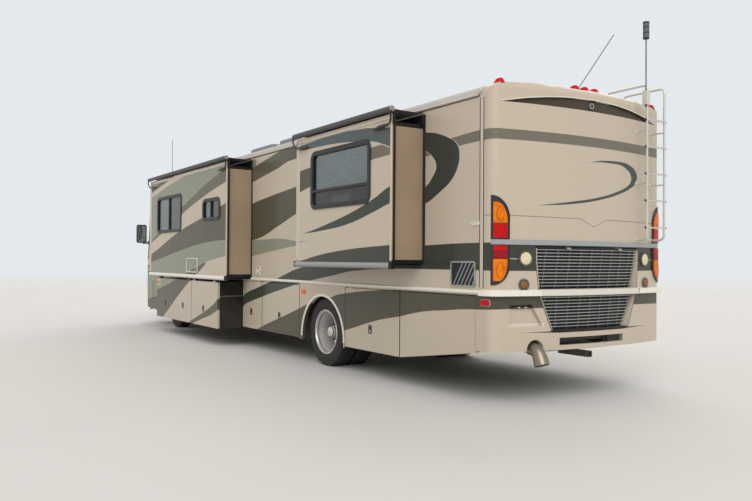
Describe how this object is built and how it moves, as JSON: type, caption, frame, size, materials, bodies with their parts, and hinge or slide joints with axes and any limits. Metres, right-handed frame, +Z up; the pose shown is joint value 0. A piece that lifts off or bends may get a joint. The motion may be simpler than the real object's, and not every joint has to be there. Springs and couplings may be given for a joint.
{
  "type": "motorhome",
  "caption": "Rear-engined coach motorhome with extending slide-out rooms, underfloor storage bays with lift-up doors, twin rear wheels, roof ladder and a louvred engine door in a bowed tail.",
  "frame": {"origin": "on the ground, on the coach's centre plane, midway between the foremost and rearmost points of the outline", "axes": "+X to the front of the coach, +Y to its left side, +Z up"},
  "size_m": [12.3438, 3.4849, 4.125],
  "materials": {
    "awning_fabric": "matte",
    "body_paint": "gloss",
    "bright_trim": "satin",
    "bright_tube": "satin",
    "dark_glass": "gloss",
    "dark_plastic": "matte",
    "deck_board": "matte",
    "engine_paint": "satin",
    "frame_paint": "satin",
    "lamp_plastic": "gloss",
    "pipe_steel": "satin",
    "roof_skin": "matte",
    "seat_fabric": "matte",
    "tyre": "matte",
    "wheel_alloy": "gloss",
    "white_plastic": "gloss"
  },
  "bodies": {
    "front_slide": {"front_slide_room": "body_paint", "front_slide_windows": "dark_glass", "front_slide_bay": "body_paint", "front_topper_roller": "white_plastic"},
    "rear_slide": {"rear_slide_room": "body_paint", "rear_slide_window": "dark_glass", "rear_topper_roller": "white_plastic"},
    "left_bay_door_1": {"left_bay_door_1": "body_paint"},
    "left_bay_door_2": {"left_bay_door_2": "body_paint"},
    "left_bay_door_3": {"left_bay_door_3": "body_paint"},
    "left_bay_door_4": {"left_bay_door_4": "body_paint"},
    "left_front_bay_door": {"left_front_bay_door": "body_paint"},
    "right_bay_door_1": {"right_bay_door_1": "body_paint"},
    "right_bay_door_2": {"right_bay_door_2": "body_paint"},
    "right_bay_door_3": {"right_bay_door_3": "body_paint"},
    "right_bay_door_4": {"right_bay_door_4": "body_paint"},
    "right_bay_door_5": {"right_bay_door_5": "body_paint"},
    "slide_bay_door_1": {"slide_bay_door_1": "body_paint"},
    "slide_bay_door_2": {"slide_bay_door_2": "body_paint"},
    "entry_door": {"entry_door": "body_paint"},
    "engine_door": {"engine_door": "body_paint"},
    "left_knuckle": {"left_knuckle": "frame_paint"},
    "right_knuckle": {"right_knuckle": "frame_paint"},
    "steering_wheel": {"steering_wheel": "dark_plastic"},
    "front_left_wheel": {"front_left_wheel": "wheel_alloy", "front_left_tyre": "tyre"},
    "front_right_wheel": {"front_right_wheel": "wheel_alloy", "front_right_tyre": "tyre"},
    "rear_left_wheels": {"rear_left_wheel": "wheel_alloy", "rear_left_tyres": "tyre"},
    "rear_right_wheels": {"rear_right_wheel": "wheel_alloy", "rear_right_tyres": "tyre"},
    "coach": {"antennas": "dark_plastic", "arch_panels": "body_paint", "chassis_frame": "frame_paint", "cockpit": "seat_fabric", "engine": "engine_paint", "entry_step": "frame_paint", "exhaust": "pipe_steel", "floor_deck": "deck_board", "front_axle": "frame_paint", "front_cap": "body_paint", "front_topper_sheet": "awning_fabric", "fuel_tank": "dark_plastic", "ladder": "bright_tube", "lamps": "lamp_plastic", "left_wall": "body_paint", "mirrors": "body_paint", "patio_awning": "white_plastic", "radiator": "dark_plastic", "rear_axle": "frame_paint", "rear_cap": "body_paint", "rear_topper_sheet": "awning_fabric", "right_wall": "body_paint", "roof": "roof_skin", "roof_units": "white_plastic", "skirts": "body_paint", "storage_bays": "dark_plastic", "trim_strips": "bright_trim", "windows": "dark_glass"}
  },
  "joints": [
    {"name": "front_slide_travel", "type": "slide", "parent": "coach", "child": "front_slide", "axis": [0, 1, 0], "range_m": [-0.385, 0], "deforming": ["front_topper_sheet"]},
    {"name": "rear_slide_travel", "type": "slide", "parent": "coach", "child": "rear_slide", "axis": [0, 1, 0], "range_m": [-0.385, 0], "deforming": ["rear_topper_sheet"]},
    {"name": "left_bay_door_1_hinge", "type": "hinge", "parent": "coach", "child": "left_bay_door_1", "pos_m": [-4.9755, 1.3, 1.1], "axis": [1, 0, 0], "range_deg": [0, 85]},
    {"name": "left_bay_door_2_hinge", "type": "hinge", "parent": "coach", "child": "left_bay_door_2", "pos_m": [-3.6655, 1.3, 1.1], "axis": [1, 0, 0], "range_deg": [0, 85]},
    {"name": "left_bay_door_3_hinge", "type": "hinge", "parent": "coach", "child": "left_bay_door_3", "pos_m": [-1.078, 1.3, 1.1], "axis": [1, 0, 0], "range_deg": [0, 85]},
    {"name": "left_bay_door_4_hinge", "type": "hinge", "parent": "coach", "child": "left_bay_door_4", "pos_m": [-0.0355, 1.3, 1.1], "axis": [1, 0, 0], "range_deg": [0, 85]},
    {"name": "left_front_bay_door_hinge", "type": "hinge", "parent": "coach", "child": "left_front_bay_door", "pos_m": [5.487, 1.3, 1.1], "axis": [1, 0, 0], "range_deg": [0, 85]},
    {"name": "right_bay_door_1_hinge", "type": "hinge", "parent": "coach", "child": "right_bay_door_1", "pos_m": [-4.9755, -1.3, 1.1], "axis": [-1, 0, 0], "range_deg": [0, 85]},
    {"name": "right_bay_door_2_hinge", "type": "hinge", "parent": "coach", "child": "right_bay_door_2", "pos_m": [-3.6655, -1.3, 1.1], "axis": [-1, 0, 0], "range_deg": [0, 85]},
    {"name": "right_bay_door_3_hinge", "type": "hinge", "parent": "coach", "child": "right_bay_door_3", "pos_m": [-1.078, -1.3, 1.1], "axis": [-1, 0, 0], "range_deg": [0, 85]},
    {"name": "right_bay_door_4_hinge", "type": "hinge", "parent": "coach", "child": "right_bay_door_4", "pos_m": [0.623, -1.3, 1.1], "axis": [-1, 0, 0], "range_deg": [0, 85]},
    {"name": "right_bay_door_5_hinge", "type": "hinge", "parent": "coach", "child": "right_bay_door_5", "pos_m": [2.7105, -1.3, 1.1], "axis": [-1, 0, 0], "range_deg": [0, 85]},
    {"name": "slide_bay_door_1_hinge", "type": "hinge", "parent": "front_slide", "child": "slide_bay_door_1", "pos_m": [1.0245, 1.74, 1.075], "axis": [1, 0, 0], "range_deg": [0, 85]},
    {"name": "slide_bay_door_2_hinge", "type": "hinge", "parent": "front_slide", "child": "slide_bay_door_2", "pos_m": [2.7055, 1.74, 1.075], "axis": [1, 0, 0], "range_deg": [0, 85]},
    {"name": "entry_door_hinge", "type": "hinge", "parent": "coach", "child": "entry_door", "pos_m": [5.049, -1.303, 1.6], "axis": [0, 0, -1], "range_deg": [0, 90]},
    {"name": "engine_door_hinge", "type": "hinge", "parent": "coach", "child": "engine_door", "pos_m": [-6.058, 0, 1.604], "axis": [0, 1, 0], "range_deg": [0, 75]},
    {"name": "left_steer", "type": "hinge", "parent": "coach", "child": "left_knuckle", "pos_m": [4.382, 0.9, 0.455], "axis": [0, 0, 1], "range_deg": [-32, 32]},
    {"name": "right_steer", "type": "hinge", "parent": "coach", "child": "right_knuckle", "pos_m": [4.382, -0.9, 0.455], "axis": [0, 0, 1], "range_deg": [-32, 32]},
    {"name": "steering_wheel_turn", "type": "hinge", "parent": "coach", "child": "steering_wheel", "pos_m": [5.182, 0.6, 1.72], "axis": [-0.866, 0, 0.5], "range_deg": [-540, 540]},
    {"name": "front_left_wheel_spin", "type": "hinge", "parent": "left_knuckle", "child": "front_left_wheel", "pos_m": [4.382, 1.003, 0.465], "axis": [0, 1, 0], "continuous": true},
    {"name": "front_right_wheel_spin", "type": "hinge", "parent": "right_knuckle", "child": "front_right_wheel", "pos_m": [4.382, -1.003, 0.465], "axis": [0, 1, 0], "continuous": true},
    {"name": "rear_left_wheel_spin", "type": "hinge", "parent": "coach", "child": "rear_left_wheels", "pos_m": [-2.418, 1.118, 0.465], "axis": [0, 1, 0], "continuous": true},
    {"name": "rear_right_wheel_spin", "type": "hinge", "parent": "coach", "child": "rear_right_wheels", "pos_m": [-2.418, -1.118, 0.465], "axis": [0, 1, 0], "continuous": true}
  ],
  "couplings": [
    {"joint": "right_steer", "follows": "left_steer", "ratio": 1},
    {"joint": "steering_wheel_turn", "follows": "left_steer", "ratio": 16.875}
  ]
}
